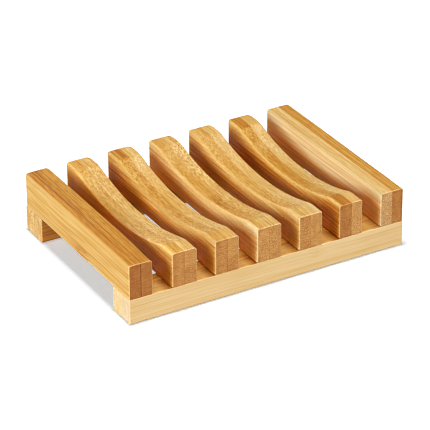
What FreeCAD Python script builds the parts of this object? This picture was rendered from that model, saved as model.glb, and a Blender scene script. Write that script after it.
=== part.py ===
import FreeCAD, Part
import Sketcher
import math
import os

# Slatted bamboo soap dish. Seven slats lie front to back on two cross rails.
# Every slat is two strips glued side by side, and so is every rail. Headed brads
# driven up from under the rails hold the slats.
#
# Frame: origin at the bottom centre, X along the rails, Y from front to rear, Z up. Millimetres.

V = FreeCAD.Vector
doc = FreeCAD.newDocument("soap_dish")

# ---------------------------------------------------------------- driving dimensions
sheet = doc.addObject("Spreadsheet::Sheet", "params")
SIZES = [
    ("rail_length", 120.0),     # overall length, along X
    ("slat_length", 85.0),      # overall depth, along Y
    ("rail_height", 10.5),
    ("rail_strip_thick", 6.6),  # a rail is two of these, side by side
    ("slat_height", 14.5),
    ("strip_thick", 5.0),       # a slat is two of these, side by side
    ("slat_pitch", 110.0 / 6.0),
    ("seat_level", 19.3),       # lowest point of the scoop above the table
    ("scoop_radius", 106.0),
    ("scoop_blend", 12.0),      # rounding between the scoop and the flat slat ends
    ("slat_edge", 1.0),         # rounding of the long top edges
    ("rail_edge", 1.5),         # rounding of a rail's long lower outer edge
    ("rail_end_edge", 1.2),     # rounding of a rail's lower end edges
    ("brad_shank_radius", 0.6),
    ("brad_head_radius", 1.0),
    ("brad_head_thick", 0.8),
    ("brad_set", 0.4),          # how far the head is set above the rail's underside
    ("brad_length", 18.0),
    ("brad_tip", 2.0),
    ("brad_count", 7.0),
]
for row, (alias, value) in enumerate(SIZES, start=1):
    sheet.set("A%d" % row, alias)
    sheet.set("B%d" % row, repr(value))
    sheet.setAlias("B%d" % row, alias)
doc.recompute()
P = {alias: float(getattr(sheet, alias)) for alias, _ in SIZES}

sub_parts = []


def plane(body, role):
    for feature in body.Origin.OriginFeatures:
        if feature.Role == role:
            return feature
    raise RuntimeError("no origin feature " + role)


def new_body(label):
    body = doc.addObject("PartDesign::Body", label)
    body.Label = label
    sub_parts.append(body)
    return body


def new_sketch(body, name, role):
    sketch = body.newObject("Sketcher::SketchObject", name)
    sketch.AttachmentSupport = [(plane(body, role), "")]
    sketch.MapMode = "FlatFace"
    return sketch


def named(sketch, name, expression, *constraint):
    index = sketch.addConstraint(Sketcher.Constraint(*constraint))
    sketch.renameConstraint(index, name)
    sketch.setExpression("Constraints." + name, expression)


def line(sketch, a, b):
    return sketch.addGeometry(Part.LineSegment(V(a[0], a[1], 0), V(b[0], b[1], 0)), False)


def arc(sketch, centre, radius, start, end):
    circle = Part.Circle(V(centre[0], centre[1], 0), V(0, 0, 1), radius)
    return sketch.addGeometry(Part.ArcOfCircle(circle, start, end), False)


def join(sketch, *pairs):
    for a, pa, b, pb in pairs:
        sketch.addConstraint(Sketcher.Constraint("Coincident", a, pa, b, pb))


def edges_where(feature, test):
    return ["Edge%d" % (i + 1) for i, e in enumerate(feature.Shape.Edges) if test(e)]


def fillet(body, base, edges, radius_expression, name):
    feature = body.newObject("PartDesign::Fillet", name)
    feature.Base = (base, edges)
    feature.setExpression("Radius", radius_expression)
    doc.recompute()
    return feature


# ---------------------------------------------------------------- slat strips
def plain_side(sketch):
    """Side view of a straight strip: a rectangle standing on the rails' top."""
    d, h = P["slat_length"] / 2, P["slat_height"]
    low = line(sketch, (-d, 0), (d, 0))
    rear = line(sketch, (d, 0), (d, h))
    top = line(sketch, (d, h), (-d, h))
    front = line(sketch, (-d, h), (-d, 0))
    join(sketch, (low, 2, rear, 1), (rear, 2, top, 1), (top, 2, front, 1), (front, 2, low, 1))
    for g in (low, top):
        sketch.addConstraint(Sketcher.Constraint("Horizontal", g))
    for g in (rear, front):
        sketch.addConstraint(Sketcher.Constraint("Vertical", g))
    sketch.addConstraint(Sketcher.Constraint("Symmetric", low, 1, low, 2, -1, 1))
    named(sketch, "depth", "params.slat_length", "DistanceX", low, 1, low, 2, 2 * d)
    named(sketch, "height", "params.slat_height", "DistanceY", rear, 1, rear, 2, h)


def scooped_side(sketch):
    """Side view of an inner strip: flat ends, rounded over into one long concave arc."""
    d, h = P["slat_length"] / 2, P["slat_height"]
    big, small = P["scoop_radius"], P["scoop_blend"]
    seat = P["seat_level"] - P["rail_height"]
    cz = seat + big
    rise = cz - h + small
    yb = math.sqrt((big + small) ** 2 - rise ** 2)
    turn = math.atan2(rise, -yb)
    low = line(sketch, (-d, 0), (d, 0))
    rear = line(sketch, (d, 0), (d, h))
    rear_flat = line(sketch, (d, h), (yb, h))
    rear_blend = arc(sketch, (yb, h - small), small, math.pi / 2, turn)
    scoop = arc(sketch, (0, cz), big, 2 * math.pi - turn, turn + math.pi)
    front_blend = arc(sketch, (-yb, h - small), small, math.pi - turn, math.pi / 2)
    front_flat = line(sketch, (-yb, h), (-d, h))
    front = line(sketch, (-d, h), (-d, 0))
    join(sketch, (low, 2, rear, 1), (rear, 2, rear_flat, 1), (front_flat, 2, front, 1), (front, 2, low, 1))
    for a, pa, b, pb in ((rear_flat, 2, rear_blend, 1), (rear_blend, 2, scoop, 2),
                         (scoop, 1, front_blend, 1), (front_blend, 2, front_flat, 1)):
        sketch.addConstraint(Sketcher.Constraint("Tangent", a, pa, b, pb))
    for g in (low, rear_flat, front_flat):
        sketch.addConstraint(Sketcher.Constraint("Horizontal", g))
    for g in (rear, front):
        sketch.addConstraint(Sketcher.Constraint("Vertical", g))
    sketch.addConstraint(Sketcher.Constraint("Symmetric", low, 1, low, 2, -1, 1))
    sketch.addConstraint(Sketcher.Constraint("PointOnObject", scoop, 3, -2))
    sketch.addConstraint(Sketcher.Constraint("Equal", rear_blend, front_blend))
    sketch.addConstraint(Sketcher.Constraint("Equal", rear, front))
    named(sketch, "depth", "params.slat_length", "DistanceX", low, 1, low, 2, 2 * d)
    named(sketch, "height", "params.slat_height", "DistanceY", rear, 1, rear, 2, h)
    named(sketch, "scoop", "params.scoop_radius", "Radius", scoop, big)
    named(sketch, "blend", "params.scoop_blend", "Radius", rear_blend, small)
    named(sketch, "centre", "params.seat_level - params.rail_height + params.scoop_radius",
          "DistanceY", -1, 1, scoop, 3, cz)


def slat_strip(label, number, side, scooped):
    """One strip of slat number 0 to 6, counted from the left; side is left or right."""
    body = new_body(label)
    outline = new_sketch(body, label + "_side", "YZ_Plane")
    (scooped_side if scooped else plain_side)(outline)
    pad = body.newObject("PartDesign::Pad", label + "_pad")
    pad.Profile = outline
    pad.setExpression("Length", "params.strip_thick")
    doc.recompute()

    # The long top edge on the strip's outer face is rounded. The other one is the glue line.
    t, h = P["strip_thick"], P["slat_height"]
    outer = 0.0 if side == "left" else t
    floor_z = 0.3

    def outer_top(e):
        points = e.discretize(5)
        return all(abs(p.x - outer) < 1e-6 for p in points) and all(p.z > floor_z for p in points) and (
            abs(points[0].y - points[-1].y) > 1e-3)

    rounded = fillet(body, pad, edges_where(pad, outer_top), "params.slat_edge", label + "_edge")

    # The brad's hole comes up from below: right strips at the front, left strips at the rear.
    hole = new_sketch(body, label + "_hole", "XY_Plane")
    sign = -1.0 if side == "right" else 1.0
    y = sign * (P["slat_length"] / 2 - 1.5 * P["rail_strip_thick"])
    ring = hole.addGeometry(Part.Circle(V(t / 2, y, 0), V(0, 0, 1), P["brad_shank_radius"]), False)
    named(hole, "radius", "params.brad_shank_radius", "Radius", ring, P["brad_shank_radius"])
    named(hole, "across", "params.strip_thick / 2", "DistanceX", -1, 1, ring, 3, t / 2)
    inset = "params.slat_length / 2 - 1.5 * params.rail_strip_thick"
    if side == "right":
        named(hole, "along", inset, "DistanceY", ring, 3, -1, 1, abs(y))
    else:
        named(hole, "along", inset, "DistanceY", -1, 1, ring, 3, abs(y))
    before = rounded.Shape.Volume
    pocket = body.newObject("PartDesign::Pocket", label + "_bore")
    pocket.Profile = hole
    pocket.Reversed = True
    pocket.setExpression("Length", "params.brad_set + params.brad_length - params.rail_height")
    doc.recompute()
    deep = P["brad_set"] + P["brad_length"] - P["rail_height"]
    gone = math.pi * P["brad_shank_radius"] ** 2 * deep
    if abs(before - pocket.Shape.Volume - gone) > 0.01 * gone:
        raise RuntimeError("brad hole missing in " + label)
    body.Tip = pocket

    shift = "(%d) * params.slat_pitch" % (number - 3)
    body.setExpression("Placement.Base.x", shift + (" - params.strip_thick" if side == "left" else ""))
    body.setExpression("Placement.Base.z", "params.rail_height")
    doc.recompute()
    return body


slat_strip("left_end_slat_outer_strip", 0, "left", False)
slat_strip("left_end_slat_inner_strip", 0, "right", False)
for number in range(1, 6):
    slat_strip("slat_%d_left_strip" % (number + 1), number, "left", True)
    slat_strip("slat_%d_right_strip" % (number + 1), number, "right", True)
slat_strip("right_end_slat_inner_strip", 6, "left", False)
slat_strip("right_end_slat_outer_strip", 6, "right", False)


# ---------------------------------------------------------------- rail strips
def rail_strip(label, layer, rear):
    """One strip of a rail. The two rails are alike, and the rear one is turned half round."""
    body = new_body(label)
    section = new_sketch(body, label + "_section", "YZ_Plane")
    w, h = P["rail_strip_thick"], P["rail_height"]
    low = line(section, (0, 0), (w, 0))
    inner = line(section, (w, 0), (w, h))
    top = line(section, (w, h), (0, h))
    outer = line(section, (0, h), (0, 0))
    join(section, (low, 2, inner, 1), (inner, 2, top, 1), (top, 2, outer, 1), (outer, 2, low, 1))
    for g in (low, top):
        section.addConstraint(Sketcher.Constraint("Horizontal", g))
    for g in (inner, outer):
        section.addConstraint(Sketcher.Constraint("Vertical", g))
    section.addConstraint(Sketcher.Constraint("Coincident", low, 1, -1, 1))
    named(section, "width", "params.rail_strip_thick", "DistanceX", low, 1, low, 2, w)
    named(section, "height", "params.rail_height", "DistanceY", inner, 1, inner, 2, h)
    pad = body.newObject("PartDesign::Pad", label + "_pad")
    pad.Profile = section
    pad.setExpression("Length", "params.rail_length")
    pad.Midplane = True
    doc.recompute()
    half = P["rail_length"] / 2

    def end_low(e):
        points = e.discretize(3)
        return all(abs(p.z) < 1e-6 and abs(abs(p.x) - half) < 1e-6 for p in points)

    tip = fillet(body, pad, edges_where(pad, end_low), "params.rail_end_edge", label + "_ends")
    if layer == "outer":
        def long_low(e):
            points = e.discretize(3)
            return all(abs(p.z) < 1e-6 and abs(p.y) < 1e-6 for p in points)

        tip = fillet(body, tip, edges_where(tip, long_low), "params.rail_edge", label + "_edge")
    else:
        # Stepped holes for the brads: one is drawn, and repeated along the rail.
        before = tip.Shape.Volume
        bores = []
        x = -3 * P["slat_pitch"] + P["strip_thick"] / 2
        for name, radius, depth in (("shank", "brad_shank_radius", None), ("head", "brad_head_radius", "brad_set")):
            spot = new_sketch(body, label + "_" + name, "XY_Plane")
            ring = spot.addGeometry(Part.Circle(V(x, w / 2, 0), V(0, 0, 1), P[radius]), False)
            named(spot, "radius", "params." + radius, "Radius", ring, P[radius])
            named(spot, "across", "3 * params.slat_pitch - params.strip_thick / 2", "DistanceX", ring, 3, -1, 1, -x)
            named(spot, "along", "params.rail_strip_thick / 2", "DistanceY", -1, 1, ring, 3, w / 2)
            bore = body.newObject("PartDesign::Pocket", label + "_" + name + "_bore")
            bore.Profile = spot
            bore.Reversed = True
            if depth is None:
                bore.setExpression("Length", "params.rail_height")
            else:
                bore.setExpression("Length", "params.brad_set + params.brad_head_thick")
            doc.recompute()
            bores.append(bore)
        row = body.newObject("PartDesign::LinearPattern", label + "_row")
        row.Originals = bores
        row.Direction = (plane(body, "X_Axis"), [""])
        row.setExpression("Length", "(params.brad_count - 1) * params.slat_pitch")
        row.setExpression("Occurrences", "params.brad_count")
        body.Tip = row
        doc.recompute()
        step = P["brad_set"] + P["brad_head_thick"]
        gone = P["brad_count"] * math.pi * (
            P["brad_shank_radius"] ** 2 * (h - step) + P["brad_head_radius"] ** 2 * step)
        if abs(before - row.Shape.Volume - gone) > 0.01 * gone:
            raise RuntimeError("brad holes missing in " + label)
        tip = row
    body.Tip = tip
    off = "params.slat_length / 2" + ("" if layer == "outer" else " - params.rail_strip_thick")
    if rear:
        body.Placement = FreeCAD.Placement(V(0, 0, 0), FreeCAD.Rotation(V(0, 0, 1), 180))
        body.setExpression("Placement.Base.y", off)
    else:
        body.setExpression("Placement.Base.y", "-(" + off + ")")
    doc.recompute()
    return body


rail_strip("front_rail_outer_strip", "outer", False)
rail_strip("front_rail_inner_strip", "inner", False)
rail_strip("rear_rail_inner_strip", "inner", True)
rail_strip("rear_rail_outer_strip", "outer", True)


# ---------------------------------------------------------------- brads
def brads(label, rear):
    """The row of headed brads in one rail, one for each slat."""
    body = new_body(label)
    body.AllowCompound = True
    half = new_sketch(body, label + "_half", "XZ_Plane")
    r, head = P["brad_shank_radius"], P["brad_head_radius"]
    z0 = P["brad_set"]
    z1 = z0 + P["brad_head_thick"]
    z3 = z0 + P["brad_length"]
    z2 = z3 - P["brad_tip"]
    base = line(half, (0, z0), (head, z0))
    rim = line(half, (head, z0), (head, z1))
    under = line(half, (head, z1), (r, z1))
    shank = line(half, (r, z1), (r, z2))
    tip = line(half, (r, z2), (0, z3))
    axis = line(half, (0, z3), (0, z0))
    join(half, (base, 2, rim, 1), (rim, 2, under, 1), (under, 2, shank, 1), (shank, 2, tip, 1),
         (tip, 2, axis, 1), (axis, 2, base, 1))
    for g in (base, under):
        half.addConstraint(Sketcher.Constraint("Horizontal", g))
    for g in (rim, shank, axis):
        half.addConstraint(Sketcher.Constraint("Vertical", g))
    half.addConstraint(Sketcher.Constraint("PointOnObject", base, 1, -2))
    named(half, "set", "params.brad_set", "DistanceY", -1, 1, base, 1, z0)
    named(half, "head", "params.brad_head_radius", "DistanceX", base, 1, base, 2, head)
    named(half, "rim", "params.brad_head_thick", "DistanceY", rim, 1, rim, 2, z1 - z0)
    named(half, "shank", "params.brad_head_radius - params.brad_shank_radius", "DistanceX", under, 2, under, 1, head - r)
    named(half, "long", "params.brad_length", "DistanceY", base, 1, tip, 2, z3 - z0)
    named(half, "tip", "params.brad_tip", "DistanceY", tip, 1, tip, 2, z3 - z2)
    turned = body.newObject("PartDesign::Revolution", label + "_turned")
    turned.Profile = half
    turned.ReferenceAxis = (half, ["V_Axis"])
    turned.Angle = 360.0
    doc.recompute()
    row = body.newObject("PartDesign::LinearPattern", label + "_row")
    row.Originals = [turned]
    row.Direction = (plane(body, "X_Axis"), [""])
    row.setExpression("Length", "(params.brad_count - 1) * params.slat_pitch")
    row.setExpression("Occurrences", "params.brad_count")
    body.Tip = row
    doc.recompute()
    x = "3 * params.slat_pitch - params.strip_thick / 2"
    y = "params.slat_length / 2 - 1.5 * params.rail_strip_thick"
    if rear:
        body.Placement = FreeCAD.Placement(V(0, 0, 0), FreeCAD.Rotation(V(0, 0, 1), 180))
        body.setExpression("Placement.Base.x", x)
        body.setExpression("Placement.Base.y", y)
    else:
        body.setExpression("Placement.Base.x", "-(" + x + ")")
        body.setExpression("Placement.Base.y", "-(" + y + ")")
    doc.recompute()
    if len(body.Shape.Solids) != int(P["brad_count"]):
        raise RuntimeError("wrong number of brads in " + label)
    return body


brads("front_rail_brads", False)
brads("rear_rail_brads", True)

# ---------------------------------------------------------------- checks, then the files
doc.recompute()
for obj in doc.Objects:
    if "Invalid" in obj.State or "Error" in obj.State:
        raise RuntimeError("%s is %s" % (obj.Label, obj.State))
for body in sub_parts:
    shape = body.Shape
    if shape.isNull() or not shape.isValid() or not shape.Solids:
        raise RuntimeError("bad shape in " + body.Label)

os.makedirs("parts", exist_ok=True)
for body in sub_parts:
    body.Shape.exportStep("parts/%s.step" % body.Label)
    box = body.Shape.BoundBox
    print("%-28s solids %d  volume %9.2f mm3  x %7.2f..%7.2f  y %7.2f..%7.2f  z %6.2f..%6.2f" % (
        body.Label, len(body.Shape.Solids), body.Shape.Volume,
        box.XMin, box.XMax, box.YMin, box.YMax, box.ZMin, box.ZMax))
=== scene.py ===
import math
import random

import bmesh
import bpy
import numpy as np
from mathutils import Matrix, Vector


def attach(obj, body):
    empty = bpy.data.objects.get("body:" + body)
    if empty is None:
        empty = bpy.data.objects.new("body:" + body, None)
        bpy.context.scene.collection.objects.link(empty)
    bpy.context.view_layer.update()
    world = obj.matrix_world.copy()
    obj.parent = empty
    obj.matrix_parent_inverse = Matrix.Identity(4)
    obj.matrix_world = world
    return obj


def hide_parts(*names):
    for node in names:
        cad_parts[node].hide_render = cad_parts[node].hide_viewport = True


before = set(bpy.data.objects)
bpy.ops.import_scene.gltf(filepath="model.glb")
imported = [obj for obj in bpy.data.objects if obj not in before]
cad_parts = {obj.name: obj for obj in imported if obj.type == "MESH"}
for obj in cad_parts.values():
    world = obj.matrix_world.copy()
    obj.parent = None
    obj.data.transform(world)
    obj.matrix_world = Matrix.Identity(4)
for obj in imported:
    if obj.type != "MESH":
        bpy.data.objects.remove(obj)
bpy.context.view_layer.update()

MM = 0.001

# ------------------------------------------------------------------ the dish's sizes, millimetres
LENGTH, DEPTH, TOP = 120.0, 85.0, 25.0
RAIL_TOP, RAIL_STRIP = 10.5, 6.6
STRIP = 5.0
PITCH = 110.0 / 6.0
SEAT, SCOOP_R, BLEND_R = 19.3, 106.0, 12.0


def scoop(y):
    """Height of an inner slat's top at y: flat ends, rounded over into one long arc."""
    y = abs(y)
    cz = SEAT + SCOOP_R
    yb = math.sqrt((SCOOP_R + BLEND_R) ** 2 - (cz - TOP + BLEND_R) ** 2)
    yt = yb * SCOOP_R / (SCOOP_R + BLEND_R)
    if y >= yb:
        return TOP
    if y >= yt:
        return TOP - BLEND_R + math.sqrt(BLEND_R ** 2 - (yb - y) ** 2)
    return cz - math.sqrt(SCOOP_R ** 2 - y ** 2)


def wander(seed, reach):
    """A smooth, slow, repeatable wobble about 0, for hand-sanded edges and faces."""
    rng = random.Random(seed)
    terms = [(rng.uniform(0.5, 1.0) / k, 2 * math.pi * k / reach, rng.uniform(0, 6.28)) for k in (1, 2, 3, 5)]
    total = sum(t[0] for t in terms)
    return lambda s: sum(a * math.sin(w * s + p) for a, w, p in terms) / total


# ------------------------------------------------------------------ strips as meshes
def strip_piece(name, length, thick, top, bottom, place, seed, r_top=(1.0, 1.0), r_low=0.4, ease=(0.3, 0.3),
                corner=None, heel=None, crown=lambda s: 0.0, power=2.0, stations=97, joint=0.05, beside=None,
                wider=lambda s: 0.0):
    """One bamboo strip. s runs along it, a from the glue face (0) to the open face (thick), b upwards.
    The open face's long edges and both ends are eased; the glue face and the seat below stay sharp.
    r_top is the rounding of its long top edge at the front end and along the rest, crown(s) the drop to that edge.
    ease, corner and heel are the radii of the top, upright and bottom edges at the two ends; beside(s) is the height of the
    neighbour that the open face looks at; wider(s) is added to thick."""
    wob_r, wob_b, wob_a, wob_t = (wander(seed * 7 + k, length * f) for k, f in enumerate((0.9, 1.1, 1.3, 0.8)))
    half = length / 2
    n_ease, n_low, n_side, n_arc, n_top = 6, 5, 12, 8, 9

    def outline(s, inset, tuck, rise):
        t = thick + wider(s) - tuck - 0.02 * (1 + wob_a(s))
        lo = bottom(s) + rise
        hi = top(s) - 0.02 * (1 + wob_t(s))
        arch = crown(s)
        near = min(max((s + half - 6.0) / 8.0, 0.0), 1.0)
        rt = max((r_top[0] + (r_top[1] - r_top[0]) * near) * (1 + 0.15 * wob_r(s)) - 0.6 * inset, 0.12)
        rl = max(r_low * (1 + 0.22 * wob_b(s)) - 0.6 * inset, 0.10)
        pts = [(0.0, lo + joint, 0.0), (joint, lo, 0.0)]
        for k in range(1, n_low + 1):
            pts.append((joint + (t - rl - joint) * k / n_low, lo, 0.0))
        for k in range(1, n_arc + 1):
            p = math.pi / 2 * k / n_arc
            pts.append((t - rl + rl * math.sin(p), lo + rl - rl * math.cos(p), 0.5 * math.sin(2 * p)))
        # the crowned top meets its corner's arc without a kink
        ac = t - rt
        for _ in range(3):
            slope = math.atan(arch * power * max(ac, 0) ** (power - 1) / thick ** power)
            ac = t - rt * (1 - math.sin(slope))
        bc = hi - inset - arch * (max(ac, 0) / thick) ** power
        ca, cb = ac - rt * math.sin(slope), bc - rt * math.cos(slope)
        z0, z1 = lo + rl, cb
        side = [0.02, 0.06] + [0.06 + 0.88 * k / (n_side - 4) for k in range(1, n_side - 4)] + [0.94, 0.98]
        for f in side:
            pts.append((t, z0 + (z1 - z0) * f, 0.0))
        for k in range(0, n_arc + 1):
            p = (math.pi / 2 - slope) * k / n_arc
            pts.append((ca + rt * math.cos(p), cb + rt * math.sin(p), math.sin(2 * p) if k < n_arc else 0.0))
        for k in range(1, n_top + 1):
            a = ac + (joint - ac) * (k / n_top)
            pts.append((a, hi - inset - arch * (a / thick) ** power, 0.0))
        pts.append((0.0, hi - inset - joint, 0.0))
        return pts

    # each end: depth in from the end face, how far the top and the open face have drawn in there, and the edge's share
    def eased(e, c, h):
        turns = [math.pi / 2 * k / n_ease for k in range(n_ease + 1)]
        ins = sorted({round(w * (1 - math.cos(p)), 4) for w in (e, c, h) for p in turns})
        ins = [d for i, d in enumerate(ins) if i == 0 or d - ins[i - 1] > 0.004 or d in (e, c, h)]
        drawn = lambda w, d: w - math.sqrt(max(w * w - (w - d) ** 2, 0.0)) if d < w else 0.0
        share = lambda d: math.sin(2 * math.acos(max(1 - d / e, 0.0))) if d < e else 0.0
        return [(half - d, drawn(e, d), drawn(c, d), drawn(h, d), share(d)) for d in ins]

    radii = [(e, c, h) for e, c, h in zip(ease, corner or ease, heel or (0.1, 0.1))]
    first, last = eased(*radii[0]), eased(*radii[1])
    start, stop = -half + max(radii[0]), half - max(radii[1])
    inner = np.linspace(start, stop, stations)[1:-1]
    inner = np.concatenate([[start + 0.12], inner, [stop - 0.12]])
    rows = [(-row[0],) + row[1:] for row in first] + [(s, 0.0, 0.0, 0.0, 0.0) for s in inner] + last[::-1]
    sheets = [outline(s, d, c, h) for s, d, c, h, _ in rows]
    n = len(sheets[0])
    bm = bmesh.new()
    rim = bm.verts.layers.float.new("rim")
    brow = bm.verts.layers.float.new("brow")
    sunk = bm.verts.layers.float.new("sunk")
    own = bm.verts.layers.float.new("own")
    uv = bm.loops.layers.uv.new("OFBake")
    grid = []
    for (s, _, _, _, e), pts in zip(rows, sheets):
        line = []
        for a, b, w in pts:
            v = bm.verts.new(Vector(place(s, a, b)) * MM)
            v[rim] = w
            v[brow] = e if b > bottom(s) + 0.5 else 0.0
            v[sunk] = (beside or top)(s) - b
            v[own] = top(s) - b
            line.append(v)
        grid.append(line)
    mid = sheets[len(sheets) // 2]
    run = [0.0]
    for i in range(1, n + 1):
        p, q = mid[i - 1], mid[i % n]
        run.append(run[-1] + math.hypot(q[0] - p[0], q[1] - p[1]))
    for j in range(len(grid) - 1):
        for i in range(n):
            k = (i + 1) % n
            f = bm.faces.new((grid[j][i], grid[j][k], grid[j + 1][k], grid[j + 1][i]))
            f.smooth = True
            us = [(rows[jj][0] + half) / length for jj in (j, j, j + 1, j + 1)]
            vs = [run[ii] / run[-1] for ii in (i, i + 1, i + 1, i)]
            for loop, u, v in zip(f.loops, us, vs):
                loop[uv].uv = (0.01 + 0.98 * u, 0.01 + 0.80 * v)
    tall = max(p[1] for p in sheets[0]) - min(p[1] for p in sheets[0])
    scale = min(0.46 / tall, 0.15 / thick)
    for j, left in ((0, 0.015), (len(grid) - 1, 0.515)):
        f = bm.faces.new(grid[j])
        f.smooth = True
        base = min(p[1] for p in sheets[j])
        for loop, (a, b, _) in zip(f.loops, sheets[j]):
            loop[uv].uv = (left + (b - base) * scale, 0.835 + a * scale)
    bmesh.ops.recalc_face_normals(bm, faces=bm.faces)
    for e in bm.edges:
        if len(e.link_faces) == 2 and e.calc_face_angle(0.0) > math.radians(40):
            e.smooth = False
    mesh = bpy.data.meshes.new(name)
    bm.to_mesh(mesh)
    bm.free()
    obj = bpy.data.objects.new(name, mesh)
    bpy.context.scene.collection.objects.link(obj)
    return obj


def even_normals(obj):
    weigh = obj.modifiers.new("even_normals", "WEIGHTED_NORMAL")
    weigh.keep_sharp = True
    weigh.weight = 80


def drill(obj, spots, radius, depth):
    """Flat-bottomed holes from below, cut into the strip's mesh."""
    bm = bmesh.new()
    uv = bm.loops.layers.uv.new("OFBake")
    for layer in ("rim", "brow", "sunk", "own"):
        bm.verts.layers.float.new(layer)
    n = 24
    for h, (hx, hy) in enumerate(spots):
        low, high = ([bm.verts.new(Vector((hx + radius * math.cos(2 * math.pi * k / n),
                                           hy + radius * math.sin(2 * math.pi * k / n), hz)) * MM) for k in range(n)]
                     for hz in (-1.0, depth))
        u0 = 0.79 + 0.027 * h
        for k in range(n):
            f = bm.faces.new((low[k], low[(k + 1) % n], high[(k + 1) % n], high[k]))
            for loop, (du, dv) in zip(f.loops, ((k, 0), (k + 1, 0), (k + 1, 1), (k, 1))):
                loop[uv].uv = (u0 + 0.024 * dv, 0.84 + 0.09 * du / n)
        for ring, face in ((high, high), (low, low[::-1])):
            f = bm.faces.new(face)
            for loop in f.loops:
                c = loop.vert.co / MM
                loop[uv].uv = (u0 + 0.012 + 0.011 * (c.x - hx) / radius, 0.955 + 0.011 * (c.y - hy) / radius)
    bmesh.ops.recalc_face_normals(bm, faces=bm.faces)
    mesh = bpy.data.meshes.new("drill")
    bm.to_mesh(mesh)
    bm.free()
    bit = bpy.data.objects.new("drill", mesh)
    bpy.context.scene.collection.objects.link(bit)
    cut = obj.modifiers.new("holes", "BOOLEAN")
    cut.operation, cut.solver, cut.object = "DIFFERENCE", "EXACT", bit
    bpy.context.view_layer.update()
    done = bpy.data.meshes.new_from_object(obj.evaluated_get(bpy.context.evaluated_depsgraph_get()))
    obj.modifiers.remove(cut)
    name, old = obj.data.name, obj.data
    obj.data = done
    bpy.data.meshes.remove(old)
    done.name = name
    bpy.data.objects.remove(bit)
    bpy.data.meshes.remove(mesh)


# ------------------------------------------------------------------ small helper for node trees
def lin(r, g, b):
    def one(c):
        c /= 255.0
        return c / 12.92 if c <= 0.04045 else ((c + 0.055) / 1.055) ** 2.4
    return (one(r), one(g), one(b), 1.0)


class Nodes:
    def __init__(self, material):
        material.use_nodes = True
        self.tree = material.node_tree
        self.tree.nodes.clear()

    def put(self, socket, value):
        if isinstance(value, bpy.types.NodeSocket):
            self.tree.links.new(value, socket)
        elif value is not None:
            socket.default_value = value

    def new(self, kind, **props):
        node = self.tree.nodes.new(kind)
        for key, value in props.items():
            setattr(node, key, value)
        return node

    def math(self, op, a, b=None, c=None, clamp=False):
        node = self.new("ShaderNodeMath", operation=op, use_clamp=clamp)
        for socket, value in zip(node.inputs, (a, b, c)):
            self.put(socket, value)
        return node.outputs[0]

    def vec(self, x, y, z):
        node = self.new("ShaderNodeCombineXYZ")
        for socket, value in zip(node.inputs, (x, y, z)):
            self.put(socket, value)
        return node.outputs[0]

    def span(self, value, lo, hi, a=0.0, b=1.0, smooth=True):
        node = self.new("ShaderNodeMapRange", interpolation_type="SMOOTHSTEP" if smooth else "LINEAR", clamp=True)
        for key, v in (("Value", value), ("From Min", lo), ("From Max", hi), ("To Min", a), ("To Max", b)):
            self.put(node.inputs[key], v)
        return node.outputs["Result"]

    def mix(self, fac, a, b, blend="MIX"):
        node = self.new("ShaderNodeMix", data_type="RGBA", blend_type=blend, clamp_factor=True)
        self.put(node.inputs["Factor"], fac)
        self.put(node.inputs[6], a)
        self.put(node.inputs[7], b)
        return node.outputs[2]

    def noise(self, vector, scale=1.0, detail=2.0, rough=0.5, colour=False):
        node = self.new("ShaderNodeTexNoise", noise_dimensions="3D")
        self.put(node.inputs["Vector"], vector)
        self.put(node.inputs["Scale"], scale)
        self.put(node.inputs["Detail"], detail)
        self.put(node.inputs["Roughness"], rough)
        return node.outputs["Color" if colour else "Fac"]

    def cells(self, vector, scale=1.0, random=1.0, colour=False, dims="3D"):
        node = self.new("ShaderNodeTexVoronoi", voronoi_dimensions=dims, feature="F1")
        self.put(node.inputs["Vector"], vector)
        self.put(node.inputs["Scale"], scale)
        self.put(node.inputs["Randomness"], random)
        return (node.outputs["Distance"], node.outputs["Color"]) if colour else node.outputs["Distance"]


# ------------------------------------------------------------------ bamboo
# Two colour scales, each from pale (0) to burnt (1): wood seen along its fibres, and wood cut across them.
TAN = [(250, 233, 191), (242, 217, 165), (233, 202, 139), (225, 184, 107), (213, 163, 77), (196, 136, 54),
       (170, 105, 41), (140, 77, 29), (104, 52, 18)]
CUT = [(244, 217, 168), (231, 195, 138), (219, 177, 117), (207, 160, 100), (195, 143, 85), (180, 123, 69),
       (158, 99, 52), (128, 73, 36), (94, 50, 23)]


def on_scale(stops, t):
    f = min(max(t, 0.0), 1.0) * (len(stops) - 1)
    i = min(int(f), len(stops) - 2)
    return lin(*(p + (q - p) * (f - i) for p, q in zip(stops[i], stops[i + 1])))


def tan(t):
    return on_scale(TAN, t)


def cut(t):
    return on_scale(CUT, t)


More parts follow.
